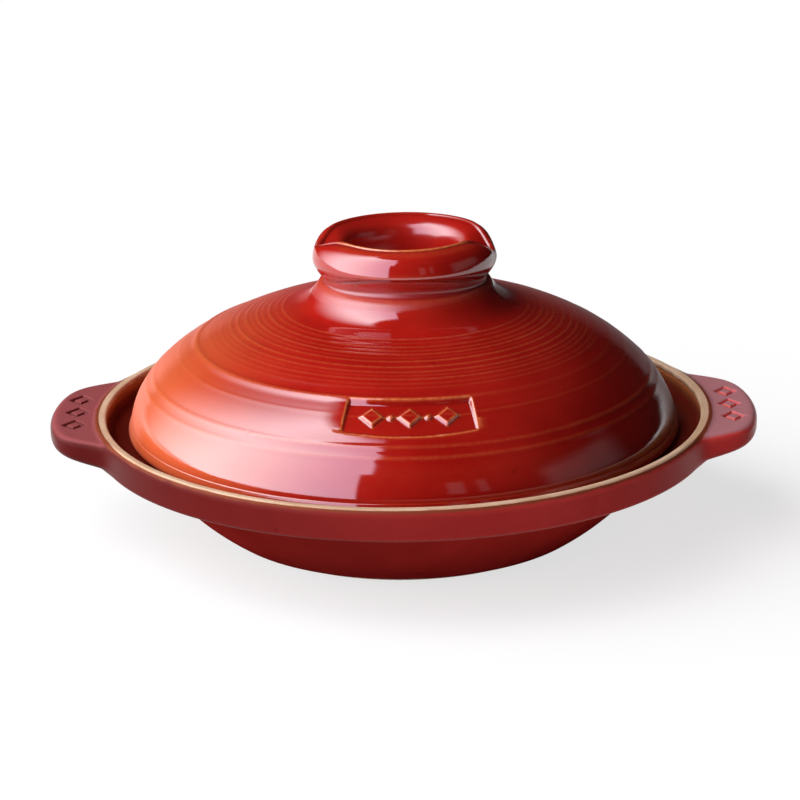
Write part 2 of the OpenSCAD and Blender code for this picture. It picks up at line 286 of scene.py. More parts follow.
class Graph:
    """A node tree with short calls to add nodes and join sockets."""

    def __init__(self, tree: NodeTree) -> None:
        """Takes over an existing node tree."""
        self.tree = tree

    def add(self, kind: str, inputs: dict | None = None, **settings: object) -> Node:
        """Adds a node.

        Args:
            kind: Blender's name for the node.
            inputs: Values or sockets for its inputs, by name or number.
            settings: Properties of the node.

        Returns:
            The node.
        """
        node = self.tree.nodes.new(kind)
        for name, value in settings.items():
            setattr(node, name, value)
        for name, value in (inputs or {}).items():
            if isinstance(value, Socket):
                self.join(value, node.inputs[name])
            else:
                node.inputs[name].default_value = value
        return node

    def join(self, output: Socket, target: Socket) -> None:
        """Links an output to an input."""
        self.tree.links.new(output, target)

    def math(self, operation: str, a: object, b: object = 0.0, clamped: bool = False) -> Socket:
        """Returns the result of a Math node."""
        node = self.add("ShaderNodeMath", {0: a, 1: b}, operation=operation, use_clamp=clamped)
        return node.outputs[0]

    def plus(self, a: object, b: object) -> Socket:
        """Returns a sum."""
        return self.math("ADD", a, b)

    def minus(self, a: object, b: object) -> Socket:
        """Returns a difference."""
        return self.math("SUBTRACT", a, b)

    def times(self, a: object, b: object, clamped: bool = False) -> Socket:
        """Returns a product."""
        return self.math("MULTIPLY", a, b, clamped)

    def most(self, *parts: object) -> Socket:
        """Returns the largest of its inputs."""
        largest = parts[0]
        for part in parts[1:]:
            largest = self.math("MAXIMUM", largest, part)
        return largest

    def step(self, value: object, low: float, high: float,
             start: float = 0.0, end: float = 1.0) -> Socket:
        """Returns value taken smoothly from start, at low, to end, at high."""
        node = self.add(
            "ShaderNodeMapRange",
            {"Value": value, "From Min": low, "From Max": high, "To Min": start, "To Max": end},
            interpolation_type="SMOOTHSTEP")
        return node.outputs["Result"]

    def blend(self, factor: object, a: object, b: object) -> Socket:
        """Returns a mix of two colours."""
        node = self.add("ShaderNodeMix", {0: factor, 6: a, 7: b},
                        data_type="RGBA", clamp_factor=True)
        return node.outputs[2]

    def scale(self, vector: object, level: object) -> Socket:
        """Returns a vector or a colour made longer or lighter."""
        node = self.add("ShaderNodeVectorMath", {0: vector, "Scale": level}, operation="SCALE")
        return node.outputs["Vector"]

    def noise(self, vector: object, scale: float,
              detail: float = 3.0, rough: float = 0.5) -> Socket:
        """Returns the value of a noise texture."""
        node = self.add("ShaderNodeTexNoise", {
            "Vector": vector, "Scale": scale, "Detail": detail, "Roughness": rough})
        return node.outputs["Fac"]

    def wander(self, place: Socket, scale: float, width: float) -> Socket:
        """Returns a smooth random amount round 0, to make an edge uneven."""
        return self.times(self.minus(self.noise(place, scale), 0.5), width)

    def split(self, vector: Socket) -> tuple[Socket, Socket, Socket]:
        """Returns the X, Y and Z of a vector."""
        x, y, z = self.add("ShaderNodeSeparateXYZ", {"Vector": vector}).outputs
        return x, y, z

    def polar(self, place: Socket) -> tuple[Socket, Socket, Socket, Socket]:
        """Returns the X, Y and Z of a place, and its distance from the Z axis."""
        x, y, z = self.split(place)
        return x, y, z, self.math("SQRT", self.plus(self.times(x, x), self.times(y, y)))

    def upward(self) -> Socket:
        """Returns how far the surface faces up, from -1 to 1."""
        return self.split(self.add("ShaderNodeNewGeometry").outputs["Normal"])[2]

    def group(self, tree: NodeTree, **inputs: object) -> Node:
        """Adds a shared node group with its inputs."""
        return self.add("ShaderNodeGroup", inputs, node_tree=tree)

    def relief(self, height: Socket, shader: Node) -> None:
        """Joins a height in metres to a shader as a bump."""
        bump_node = self.add("ShaderNodeBump", {"Height": height, "Strength": 1.0, "Distance": 1.0})
        self.join(bump_node.outputs["Normal"], shader.inputs["Normal"])

    def attribute(self, name: str) -> Socket:
        """Returns a float attribute of the mesh."""
        return self.add("ShaderNodeAttribute", attribute_name=name).outputs["Fac"]

    def place(self) -> Socket:
        """Returns the place on the object, in metres."""
        return self.add("ShaderNodeTexCoord").outputs["Object"]


@dataclass(frozen=True)
class Effect:
    """A shader node group that several finishes share."""

    name: str
    inputs: tuple[tuple[str, str, object], ...]
    outputs: tuple[tuple[str, str], ...]

    def build(self, fill: Callable[[Graph, Node, Node], None]) -> NodeTree:
        """Makes the group.

        Args:
            fill: Adds the nodes between the group's input and output nodes.

        Returns:
            The node group.
        """
        tree = bpy.data.node_groups.new(self.name, "ShaderNodeTree")
        for name, kind, value in self.inputs:
            socket = tree.interface.new_socket(name, in_out="INPUT", socket_type=kind)
            if value is not None:
                socket.default_value = value
        for name, kind in self.outputs:
            tree.interface.new_socket(name, in_out="OUTPUT", socket_type=kind)
        graph = Graph(tree)
        fill(graph, graph.add("NodeGroupInput"), graph.add("NodeGroupOutput"))
        return tree


FLOAT, COLOUR, VECTOR = "NodeSocketFloat", "NodeSocketColor", "NodeSocketVector"


def wheel_lines() -> NodeTree:
    """Makes the group for the fine lines that a potter's tools leave as the clay turns.

    Returns:
        A group from Place to Rings, a mask whose lines run round the Z axis.
    """
    def fill(graph: Graph, start: Node, end: Node) -> None:
        x, y, z, across = graph.polar(start.outputs["Place"])
        safe = graph.most(across, 0.001)
        drift = start.outputs["Drift"]
        level = graph.times(graph.minus(across, z), start.outputs["Lines"])
        vector = graph.add("ShaderNodeCombineXYZ", {
            "X": graph.times(graph.math("DIVIDE", x, safe), drift),
            "Y": graph.times(graph.math("DIVIDE", y, safe), drift),
            "Z": level})
        graph.join(graph.noise(vector.outputs[0], 1.0, 4.0, 0.6), end.inputs["Rings"])

    return Effect(
        "Wheel lines",
        (("Place", VECTOR, None), ("Lines", FLOAT, 900.0), ("Drift", FLOAT, 1.2)),
        (("Rings", FLOAT),)).build(fill)


def glaze_coat() -> NodeTree:
    """Makes the group for glaze that runs thin over crests and pools in hollows, with painted warm
    light mixed in.

    Returns:
        A group from colours and bend masks to the glaze's Colour.
    """
    def fill(graph: Graph, start: Node, end: Node) -> None:
        give = start.outputs
        cloud = graph.noise(give["Place"], 22.0, 4.0, 0.55)
        fine = graph.noise(give["Place"], 420.0, 3.0, 0.6)
        ragged = graph.step(fine, 0.25, 0.75, 0.55, 1.3)
        broken = graph.times(give["Crest"], give["Break"])
        thin = graph.times(broken, ragged, clamped=True)
        pooled = graph.times(give["Hollow"], give["Pooling"], clamped=True)
        streak = graph.step(give["Rings"], 0.35, 0.72)
        body = graph.blend(graph.step(cloud, 0.35, 0.7), give["Body"], give["Deep"])
        body = graph.blend(graph.times(streak, give["Streaks"]), body, give["Deep"])
        # Painted warm light, where its mask asks for it.
        body = graph.blend(give["Warmth"], body, give["Warm"])
        body = graph.blend(pooled, body, give["Pool"])
        graph.join(graph.blend(thin, body, give["Thin"]), end.inputs["Colour"])

    kinds = {
        VECTOR: ("Place",), COLOUR: ("Body", "Deep", "Warm", "Pool", "Thin"),
        FLOAT: ("Crest", "Hollow", "Rings", "Warmth", "Break", "Pooling", "Streaks")}
    inputs = tuple((name, kind, None) for kind, names in kinds.items() for name in names)
    return Effect("Glaze coat", inputs, (("Colour", COLOUR),)).build(fill)


def specks() -> NodeTree:
    """Makes the group for sparse small spots, such as pinholes in glaze and grog in clay.

    Returns:
        A group from Place to Spots, a mask of round spots.
    """
    def fill(graph: Graph, start: Node, end: Node) -> None:
        cells = graph.add("ShaderNodeTexVoronoi", {
            "Vector": start.outputs["Place"], "Scale": start.outputs["Density"]})
        tone = graph.add("ShaderNodeSeparateColor", {"Color": cells.outputs["Color"]})
        chosen = graph.math("GREATER_THAN", tone.outputs["Red"], start.outputs["Rarity"])
        dot = graph.step(cells.outputs["Distance"], 0.08, 0.22, 1.0, 0.0)
        graph.join(graph.times(chosen, dot), end.inputs["Spots"])

    return Effect(
        "Specks",
        (("Place", VECTOR, None), ("Density", FLOAT, 160.0), ("Rarity", FLOAT, 0.9)),
        (("Spots", FLOAT),)).build(fill)


@dataclass(frozen=True)
class Effects:
    """The shared node groups."""

    lines: NodeTree
    coat: NodeTree
    specks: NodeTree

    @classmethod
    def make(cls) -> "Effects":
        """Builds each group once."""
        return cls(wheel_lines(), glaze_coat(), specks())


def blank_material(name: str) -> tuple[Material, Graph, Node]:
    """Makes a material with only a Principled shader in it.

    Returns:
        The material, its graph and the shader node.
    """
    material = bpy.data.materials.new(name)
    material.use_nodes = True
    graph = Graph(material.node_tree)
    material.node_tree.nodes.clear()
    shader = graph.add("ShaderNodeBsdfPrincipled")
    graph.add("ShaderNodeOutputMaterial", {"Surface": shader.outputs["BSDF"]})
    return material, graph, shader


@dataclass(frozen=True, kw_only=True)
class Glaze:
    """A glaze, from its colours and how it lies on the clay."""

    name: str
    body: Colour
    deep: Colour
    thin: Colour
    pool: Colour
    # The warm colour is that of the painted warm light.
    warm: Colour = (0.0, 0.0, 0.0, 1.0)
    roughness: float
    wear: Point = (0.8, 1.25)
    ior: float = 1.5
    specular: float
    breaking: float
    pooling: float
    streaks: float
    line_depth: float
    ripple: float
    # The tone levels, with the three settings after them, paint shade and light. They scale the
    # colour from the left side to the right for how the light falls across the piece.
    tone: Point
    painted_shading_span: Point
    painted_shading_bend: float = 1.0
    painted_shading_wander: float = 0.03
    pit_share: float = 0.5
    pit_rarity: float = 0.93
    pit_depth: float = 0.00005

    def painted_side_shading(self, graph: Graph, place: Socket, colour: object) -> Socket:
        """Returns the colour with painted shade and painted light, scaled from its left side to its
        right.
        """
        aside = graph.plus(graph.split(place)[0], graph.wander(place, 18.0, self.painted_shading_wander))
        share = graph.math("POWER", graph.step(aside, *self.painted_shading_span), self.painted_shading_bend)
        level = graph.plus(graph.times(share, self.tone[1] - self.tone[0]), self.tone[0])
        return graph.scale(colour, level)

    def painted_warm_light(self, graph: Graph, place: Socket) -> object:
        """Returns the mask of painted warm light, none on this glaze."""
        return 0.0

    def make(self, effects: Effects) -> Material:
        """Builds the material.

        Args:
            effects: The shared node groups.

        Returns:
            The glaze as a material.
        """
        material, graph, shader = blank_material(self.name)
        place = graph.place()
        rings = graph.group(effects.lines, Place=place)
        coat = graph.group(
            effects.coat, Place=place, Rings=rings.outputs["Rings"],
            Crest=graph.attribute("crest"), Hollow=graph.attribute("hollow"),
            Warmth=self.painted_warm_light(graph, place), Break=self.breaking, Pooling=self.pooling,
            Streaks=self.streaks, Body=self.body, Deep=self.deep, Thin=self.thin,
            Pool=self.pool, Warm=self.warm)
        pits = graph.group(effects.specks, Place=place, Rarity=self.pit_rarity)
        self.colour(graph, shader, place, coat, pits)
        shader.inputs["IOR"].default_value = self.ior
        shader.inputs["Specular IOR Level"].default_value = self.specular
        ripple = graph.times(graph.noise(place, 60.0, 2.0, 0.4), self.ripple)
        tooling = graph.times(rings.outputs["Rings"], self.line_depth)
        pit = graph.times(pits.outputs["Spots"], -self.pit_depth)
        graph.relief(graph.plus(graph.plus(ripple, tooling), pit), shader)
        return material

    def colour(self, graph: Graph, shader: Node, place: Socket,
               coat: Node, pits: Node) -> None:
        """Joins the glaze's colour and roughness to the shader."""
        spotted = graph.blend(
            graph.times(pits.outputs["Spots"], self.pit_share), coat.outputs["Colour"], self.pool)
        # Painted shade and light from left to right.
        graph.join(self.painted_side_shading(graph, place, spotted), shader.inputs["Base Color"])
        rough = self.dulled(graph, place, self.worn(graph, place))
        graph.join(rough, shader.inputs["Roughness"])

    def worn(self, graph: Graph, place: Socket) -> Socket:
        """Returns the roughness, a little uneven from wear."""
        low, high = (self.roughness * share for share in self.wear)
        return graph.step(graph.noise(place, 35.0), 0.3, 0.7, low, high)

    def dulled(self, graph: Graph, place: Socket, rough: Socket) -> Socket:
        """Returns the roughness where the glaze may have dulled."""
        return rough


@dataclass(frozen=True, kw_only=True)
class BowlGlaze(Glaze):
    """The satin glaze of the bowl, with painted light lightening its outside towards the right, and
    one plain level inside.
    """

    inside_tone: float = 0.75

    def painted_side_shading(self, graph: Graph, place: Socket, colour: object) -> Socket:
        """Returns the colour with painted light on the outside, and at a plain level on the inside.
        """
        outside = super().painted_side_shading(graph, place, colour)
        inside = graph.scale(colour, self.inside_tone)
        return graph.blend(graph.step(graph.upward(), -0.05, 0.05), outside, inside)


@dataclass(frozen=True, kw_only=True)
class LidGlaze(Glaze):
    """The gloss glaze of the lid, with painted warm light over its left shoulder, where the light
    falls.
    """

    # The span of the painted warm light on the left side.
    warm_light_from: float = 0.036
    warm_light_to: float = 0.112
    dish_reach: float = 0.0325
    dish_floor: float = 0.105
    dish_dullness: float = 0.12
    neck_reach: float = 0.039
    neck_top: float = 0.1135
    neck_dullness: float = 0.3
    shoulder_low: float = 0.074
    dullness: float = 0.42
    far_edge: Point = (0.6, 0.84)
    far_side: Point = (0.0, 0.06)
    near_edge: Point = (0.58, 0.8)
    near_side: Point = (-0.08, -0.096)
    dome_from: Point = (0.037, 0.041)

    def painted_warm_light(self, graph: Graph, place: Socket) -> Socket:
        """Returns a soft mask of painted warm light over the lid's left side, where the light
        falls.
        """
        toward = graph.minus(graph.wander(place, 16.0, 0.03), graph.split(place)[0])
        return graph.step(toward, self.warm_light_from, self.warm_light_to)

    def dulled(self, graph: Graph, place: Socket, rough: Socket) -> Socket:
        """Returns the roughness, higher in the knob's dish, at its neck and on edge-on flanks."""
        x, _, z, across = graph.polar(place)
        dish = graph.times(
            graph.step(across, self.dish_reach, self.dish_reach - 0.002),
            graph.step(z, self.dish_floor, self.dish_floor + 0.001, 0.0, self.dish_dullness))
        neck = graph.times(
            graph.step(across, self.neck_reach, self.neck_reach - 0.0015),
            graph.step(z, self.neck_top, self.neck_top - 0.002, 0.0, self.neck_dullness))
        facing = graph.add("ShaderNodeLayerWeight", {"Blend": 0.5}).outputs["Facing"]
        shoulder = graph.step(z, self.shoulder_low, self.shoulder_low + 0.01)
        far = graph.times(graph.most(graph.step(x, *self.far_side), shoulder),
                          graph.step(facing, *self.far_edge))
        near = graph.times(graph.step(facing, *self.near_edge), graph.step(x, *self.near_side))
        dome = graph.step(across, *self.dome_from, 0.0, self.dullness)
        flank = graph.times(graph.most(far, near), dome)
        return graph.plus(rough, graph.most(dish, neck, flank))


@dataclass(frozen=True, kw_only=True)
class PotGlaze(Glaze):
    """The satin glaze of the pot's outside, which turns to a dark gloss inside the gallery, with
    painted sheen on the lug tops.
    """

    inner: Colour
    flash: Colour
    seam: Colour
    # The next two colours are painted sheen on the up-facing lug tops, the second for the right
    # lug.
    painted_sheen: Colour
    painted_sheen_right: Colour
    inner_roughness: float = 0.22
    inner_radius: float = 0.1272
    flash_low: float = 0.0438
    rim_height: float = 0.0503
    rim_reach: float = 0.1318
    lug_from: float = 0.1195

    def colour(self, graph: Graph, shader: Node, place: Socket,
               coat: Node, pits: Node) -> None:
        """Joins the two glazes' colour, with its painted sheen and painted side shading, and
        roughness to the shader.
        """
        x, _, z, across = graph.polar(place)
        wander = graph.wander(place, 140.0, 0.0012)
        height = graph.plus(z, wander)
        inside = graph.step(across, self.inner_radius, self.inner_radius - 0.0004)
        lining = graph.blend(
            graph.step(height, self.flash_low, self.rim_height), self.inner, self.flash)
        near = graph.step(graph.plus(across, wander), self.rim_reach, self.rim_reach - 0.0008)
        edge = graph.step(height, self.rim_height - 0.0004, self.rim_height + 0.0007)
        lug = graph.step(graph.math("ABSOLUTE", x), self.lug_from, self.lug_from + 0.006)
        # Painted sheen: up-facing lug tops turn pale pink, paler on the right lug. This stands for
        # reflected light and for the light that the lid keeps off.
        upward = graph.times(graph.step(graph.upward(), 0.4, 0.95), lug)
        painted_sheen_mix = graph.blend(graph.step(x, -0.1, 0.1), self.painted_sheen, self.painted_sheen_right)
        # Painted shade on the pot's left and painted light on its right.
        painted_side_shading = self.painted_side_shading(graph, place, coat.outputs["Colour"])
        outer = graph.blend(graph.times(edge, near), graph.blend(upward, painted_side_shading, painted_sheen_mix), self.seam)
        spotted = graph.blend(graph.times(pits.outputs["Spots"], self.pit_share), outer, self.pool)
        graph.join(graph.blend(inside, spotted, lining), shader.inputs["Base Color"])
        satin = self.worn(graph, place)
        rough = graph.add("ShaderNodeMix", {0: inside, 2: satin, 3: self.inner_roughness})
        graph.join(rough.outputs[0], shader.inputs["Roughness"])


@dataclass(frozen=True)
class BareClay:
    """Fired clay without glaze."""

    name: str
    body: Colour
    light: Colour
    grog: Colour
    flash: Colour
    rim_radius: float = 0.1297
    rim_inner: float = 0.1268
    rim_low: float = 0.048
    roughness: float = 0.72
    specular: float = 0.3
    grain_depth: float = 0.00006

    def make(self, effects: Effects) -> Material:
        """Builds the material.

        Args:
            effects: The shared node groups.

        Returns:
            The clay as a material.
        """
        material, graph, shader = blank_material(self.name)
        place = graph.place()
        grain = graph.noise(place, 900.0, 4.0, 0.65)
        cloud = graph.noise(place, 45.0)
        grog = graph.group(effects.specks, Place=place, Density=900.0, Rarity=0.86)
        _, _, z, across = graph.polar(place)
        reach = graph.plus(across, graph.wander(place, 160.0, 0.0008))
        outer = graph.step(reach, self.rim_radius - 0.0002, self.rim_radius + 0.0006)
        high = graph.math("GREATER_THAN", z, self.rim_low)
        inner = graph.step(reach, self.rim_inner, self.rim_inner - 0.0006, 0.0, 0.75)
        clay = graph.blend(graph.step(cloud, 0.3, 0.7), self.body, self.light)
        clay = graph.blend(graph.step(grain, 0.35, 0.75, 0.0, 0.25), clay, self.grog)
        clay = graph.blend(graph.times(grog.outputs["Spots"], 0.7), clay, self.grog)
        clay = graph.blend(graph.most(outer, graph.times(inner, high)), clay, self.flash)
        graph.join(clay, shader.inputs["Base Color"])
        rough = graph.step(grain, 0.2, 0.8, self.roughness - 0.1, self.roughness + 0.1)
        graph.join(rough, shader.inputs["Roughness"])
        shader.inputs["Specular IOR Level"].default_value = self.specular
        graph.relief(graph.times(grain, self.grain_depth), shader)
        return material


@dataclass(frozen=True)
class Palette:
    """The finishes of the pot and the lid."""

    lid: Material
    pot: Material
    bowl: Material
    clay: Material

    @classmethod
    def make(cls) -> "Palette":
        """Builds every material once."""
        effects = Effects.make()
        # Each tone pair paints shade and light from left to right: the lid darker on its right, the
        # pot darker on its left and lighter on its right, the bowl lighter towards its right.
        lid = LidGlaze(
            name="lid_gloss_glaze", body=srgb(180, 30, 20), deep=srgb(162, 18, 11),
            thin=srgb(228, 122, 66), pool=srgb(104, 8, 5), warm=srgb(212, 94, 52),
            roughness=0.06, ior=1.6, specular=1.0, breaking=0.8, pooling=0.4, streaks=0.3,
            line_depth=0.000012, ripple=0.00005, tone=(1.0, 0.48), painted_shading_span=(0.01, 0.115),
            pit_share=0.3, pit_rarity=0.965)
        pot = PotGlaze(
            name="pot_satin_glaze", body=srgb(146, 40, 36), deep=srgb(138, 35, 31),
            thin=srgb(170, 70, 60), pool=srgb(100, 20, 18), inner=srgb(104, 28, 17),
            flash=srgb(180, 104, 60), seam=srgb(132, 62, 38), painted_sheen=srgb(154, 78, 76),
            painted_sheen_right=srgb(184, 120, 119), roughness=0.3, wear=(0.85, 1.2), specular=0.05,
            breaking=0.3, pooling=0.5, streaks=0.12, line_depth=0.00001, ripple=0.00003,
            tone=(0.35, 2.9), painted_shading_span=(-0.16, 0.16), painted_shading_bend=1.6)
        bowl = BowlGlaze(
            name="bowl_satin_glaze", body=srgb(136, 33, 28), deep=srgb(124, 27, 22),
            thin=srgb(160, 52, 42), pool=srgb(80, 12, 10), roughness=0.4, specular=0.0,
            breaking=0.3, pooling=0.5, streaks=0.3, line_depth=0.00002, ripple=0.00003,
            tone=(1.2, 3.9), painted_shading_span=(-0.05, 0.1))
        clay = BareClay(
            "bare_clay", body=srgb(206, 166, 128), light=srgb(222, 186, 150),
            grog=srgb(168, 122, 84), flash=srgb(150, 84, 48))
        return cls(lid.make(effects), pot.make(effects), bowl.make(effects), clay.make(effects))


def dress(piece: Object, material: Material, slot: Slot, body: Body, *nodes: str) -> None:
    """Gives a piece its finish, its body and the CAD nodes that it stands for.

    Args:
        piece: The finished object.
        material: Its finish.
        slot: The slot of that finish. It is not used.
        body: The body that it rides on.
        nodes: The nodes that it replaces.
    """
    piece.data.materials.append(material)
    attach(piece, body.value)
    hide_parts(*nodes)
    LOG.info("%s: %d faces, rides on %s, stands for %s",
             piece.name, len(piece.data.polygons), body.value, ", ".join(nodes))


# The pot

@dataclass
class Pot:
    """The pot: bowl, foot, and the collar with its gallery, bare rim and lugs."""

    height: float = 52.0
    collar_r: float = 130.97
    collar_z: float = 38.7
    under_r: float = 126.0
    heart_z: float = 45.2
    ledge_z: float = 43.0
    wall_r: float = 126.5
    bare_z: float = 49.8
    shoulder_z: float = 48.6
    shoulder_round: float = 4.1
    rim_round: float = 1.0
    bare_outer_r: float = 129.9
    mouth_r: float = 103.1
    bead_w: float = 2.2
    bead_h: float = 2.5
    bead_root: float = 0.6
    fillet: float = 3.0
    collar_round: float = 1.2
    lug_tip_r: float = 150.48
    lug_sunk_r: float = 128.35
    lug_top: float = 51.0
    lug_root_z: float = 39.9
    lug_tip_z: float = 42.7
    lug_round: float = 3.0
    lug_blend: float = 2.6
    lug_half_angle: float = 17.6
    lug_power: float = 7.8
    lug_crown: float = 0.15
    lug_zone: float = 34.0
    lug_steps: int = 136
    plain_steps: int = 76
    outer_rows: int = 96
    mark_r: float = 139.25
    mark_l: float = 10.0
    mark_w: float = 13.0
    mark_pitch: float = 17.0
    mark_core: float = 0.6
    mark_depth: float = 1.15
    mark_soft: float = 0.4
    mark_margin: float = 1.5
    foot_r: float = 72.0
    foot_w: float = 9.0
    foot_h: float = 3.0
    base_r: float = 78.5
    bowl_r: float = 112.5
    bowl_curve_r: float = 108.0
    bowl_centre: Point = (19.36, 93.37)
    bowl_wall: float = 8.0
    floor_z: float = 10.0
    floor_fillet: float = 24.0
    bowl_columns: int = 256
    foot_columns: int = 192

    @property
    def spans(self) -> tuple[tuple[float, int], ...]:
        """Spans of the spin, finer over the two lugs."""
        plain = 180 - 2 * self.lug_zone
        return ((self.lug_zone, self.lug_steps // 2), (plain, self.plain_steps),
                (2 * self.lug_zone, self.lug_steps), (plain, self.plain_steps),
                (self.lug_zone, self.lug_steps // 2))

    def lug_edge(self, angle: float) -> float:
        """Returns the radius of a lug's outline at an angle from its middle."""
        turn = abs(angle) / self.lug_half_angle
        share = (1 - self.lug_crown * turn ** 2) / (1 + turn ** self.lug_power)
        return self.lug_sunk_r + (self.lug_tip_r - self.lug_sunk_r) * max(share, 0)

    def distance(self, r: float, z: float, edge: float) -> float:
        """Returns how far a point lies outside the collar and a lug of the given outline radius."""
        top = self.shoulder_z + self.shoulder_round
        collar = round_cut(round_cut(r - self.collar_r, z - top, self.shoulder_round),
                           self.collar_z - z, self.collar_round)
        rise = (self.lug_tip_z - self.lug_root_z) / (self.lug_tip_r - self.collar_r)
        low = self.lug_root_z + rise * (r - self.collar_r)
        lug = round_cut(r - edge, z - self.lug_top, self.lug_round)
        lug = round_cut(lug, low - z, self.lug_round)
        return round_join(collar, lug, self.lug_blend)

    def seek(self, start: Point, end: Point, edge: float) -> Point:
        """Returns where the straight way from start, inside, to end, outside, meets the surface."""
        low, high = 0.0, 1.0
        for _ in range(HALVINGS):
            t = (low + high) / 2
            if self.distance(*between(start, end, t), edge) < 0:
                low = t
            else:
                high = t
        return between(start, end, low)

    def outer_ring(self, angle: float) -> Profile:
        """Returns the collar's outside from the edge of the bare rim down to its underside.

        Args:
            angle: Degrees from the middle of the nearer lug.

        Returns:
            One more point than outer_rows.
        """
        edge = self.lug_edge(angle)
        heart = (self.under_r + max(0.0, edge - self.collar_r) / 2, self.heart_z)
        rim = self.bare_outer_r
        top = self.seek((rim, self.ledge_z), (rim, self.height + 2), edge)
        foot = (self.under_r, self.collar_z)
        start, end = (math.atan2(p[1] - heart[1], p[0] - heart[0]) for p in (top, foot))
        ring = [top]
        for i in range(1, self.outer_rows):
            turn = mix(start, end, i / self.outer_rows)
            far = (heart[0] + 40 * math.cos(turn), heart[1] + 40 * math.sin(turn))
            ring.append(self.seek(heart, far, edge))
        return ring + [foot]

    def rings(self) -> Callable[[float], Profile]:
        """Returns a function that gives the outer ring at any angle, and keeps what it made."""
        made = cache(self.outer_ring)

        def ring(angle: float) -> Profile:
            near = round(min(abs(angle), 180 - abs(angle)), 2)
            return made(min(near, self.lug_zone))

        return ring

    def gallery(self) -> Profile:
        """Returns the collar's underside, mouth, bead, ledge and inner wall, up to the bare rim."""
        bead_mid = (self.mouth_r + self.bead_w / 2, self.ledge_z + self.bead_h - self.bead_w / 2)
        wall = (self.wall_r - self.fillet, self.ledge_z + self.fillet)
        points = line((self.under_r, self.collar_z), (self.bowl_r, self.collar_z), 4)
        points += line(points[-1], (self.mouth_r, self.collar_z), 3)
        points += line(points[-1], (self.mouth_r, bead_mid[1]), 4)
        points += arc(bead_mid, self.bead_w / 2, 180, 0, 8)[1:]
        root = self.bead_root
        points += line(points[-1], (points[-1][0], self.ledge_z + root), 1)
        points += arc((points[-1][0] + root, points[-1][1]), root, 180, 270, 3)[1:]
        points += line(points[-1], (wall[0], self.ledge_z), 8)
        points += arc(wall, self.fillet, -90, 0, 8)[1:]
        return points + line(points[-1], (self.wall_r, self.bare_z), 4)

    def mark(self, x: float, y: float) -> float:
        """Returns how deep the ornament pressed into a lug's top is at a place, as a share."""
        out = abs(x) - self.mark_r
        along = y - self.mark_pitch * max(-1, min(1, round(y / self.mark_pitch)))
        half_l, half_w = self.mark_l / 2, self.mark_w / 2
        away = lozenge_distance(out, along, half_l, half_w)
        core = lozenge_distance(out, along, half_l * self.mark_core, half_w * self.mark_core)
        soft = self.mark_soft
        return smooth(soft, -soft, away) * smooth(-soft, soft, core)

    def make_collar(self) -> Object:
        """Makes the glazed collar with its gallery and the two lugs that flow out of it."""
        ring = self.rings()
        gallery = self.gallery()
        outside = self.outer_rows + 1
        half_w = self.mark_pitch + self.mark_w / 2 + self.mark_margin

        def place(row: int, angle: float) -> Point:
            return ring(angle)[row] if row < outside else gallery[row - outside]

        def on_top(p: Vector) -> bool:
            return (p.z > self.lug_top - 0.05 and abs(p.y) < half_w
                    and abs(abs(p.x) - self.mark_r) < self.mark_l / 2 + self.mark_margin)

        turned = Turned(ring(90) + gallery, self.spans, closed=True)
        turned.shape(place)
        turned.refine(on_top, cuts=2, along=True)
        for vert in turned.bm.verts:
            p = vert.co / MM
            if on_top(p):
                vert.co.z -= self.mark_depth * self.mark(p.x, p.y) * MM
        turned.clean()
        return turned.finish("glazed_collar_and_lugs")

    def make_bare_rim(self) -> Object:
        """Makes the bare clay top of the rim, from the glaze outside to the glaze inside."""
        ring = self.rings()
        top_out = self.collar_r - self.shoulder_round + math.sqrt(
            self.shoulder_round ** 2 - (self.height - self.shoulder_z) ** 2)
        corner = (self.wall_r + self.rim_round, self.height - self.rim_round)
        inner = line((top_out, self.height), (corner[0], self.height), 4)
        inner += arc(corner, self.rim_round, 90, 180, 6)[1:]
        inner += line(inner[-1], (self.wall_r, self.bare_z), 2)
        mid = (self.collar_r - self.shoulder_round, self.shoulder_z)
        high = math.atan2(self.height - mid[1], top_out - mid[0])
        rows = 5

        @cache
        def profile(start: Point) -> Profile:
            low, first = math.atan2(start[1] - mid[1], start[0] - mid[0]), math.dist(start, mid)
            outer = []
            for i in range(rows + 1):
                turn = mix(low, high, i / rows)
                reach = mix(first, self.shoulder_round, i / rows)
                z = min(self.height, mid[1] + reach * math.sin(turn))
                outer.append((mid[0] + reach * math.cos(turn), z))
            return outer + inner

        turned = Turned(profile(ring(90)[0]), self.spans, closed=True)
        turned.shape(lambda row, angle: profile(ring(angle)[0])[row])
        turned.clean()
        return turned.finish("bare_rim_clay")

    def make_bowl(self) -> Object:
        """Makes the glazed bowl, outside and inside."""
        cx, cz = self.bowl_centre

        def turn_at(radius: float, z: float) -> float:
            return -math.degrees(math.asin((cz - z) / radius))

        inner_r = self.bowl_curve_r - self.bowl_wall
        fillet_z = self.floor_z + self.floor_fillet
        fillet_r = cx + math.sqrt((inner_r - self.floor_fillet) ** 2 - (cz - fillet_z) ** 2)
        meet = math.degrees(math.atan2(fillet_z - cz, fillet_r - cx))
        outside = arc((cx, cz), self.bowl_curve_r, turn_at(self.bowl_curve_r, self.foot_h),
                      turn_at(self.bowl_curve_r, self.collar_z), 60)
        inside = arc((cx, cz), inner_r, turn_at(inner_r, self.collar_z), meet, 40)
        fillet = arc((fillet_r, fillet_z), self.floor_fillet, meet, -90, 16)[1:]
        base = [(0.0, self.foot_h)] + line((0.0, self.foot_h), (self.base_r - 1.0, self.foot_h), 8)
        floor = line((fillet_r, self.floor_z), (0.0, self.floor_z), 10)
        profile = base + outside[1:] + inside + fillet + floor
        return wheel(profile, self.bowl_columns, closed=False).finish("glazed_bowl")

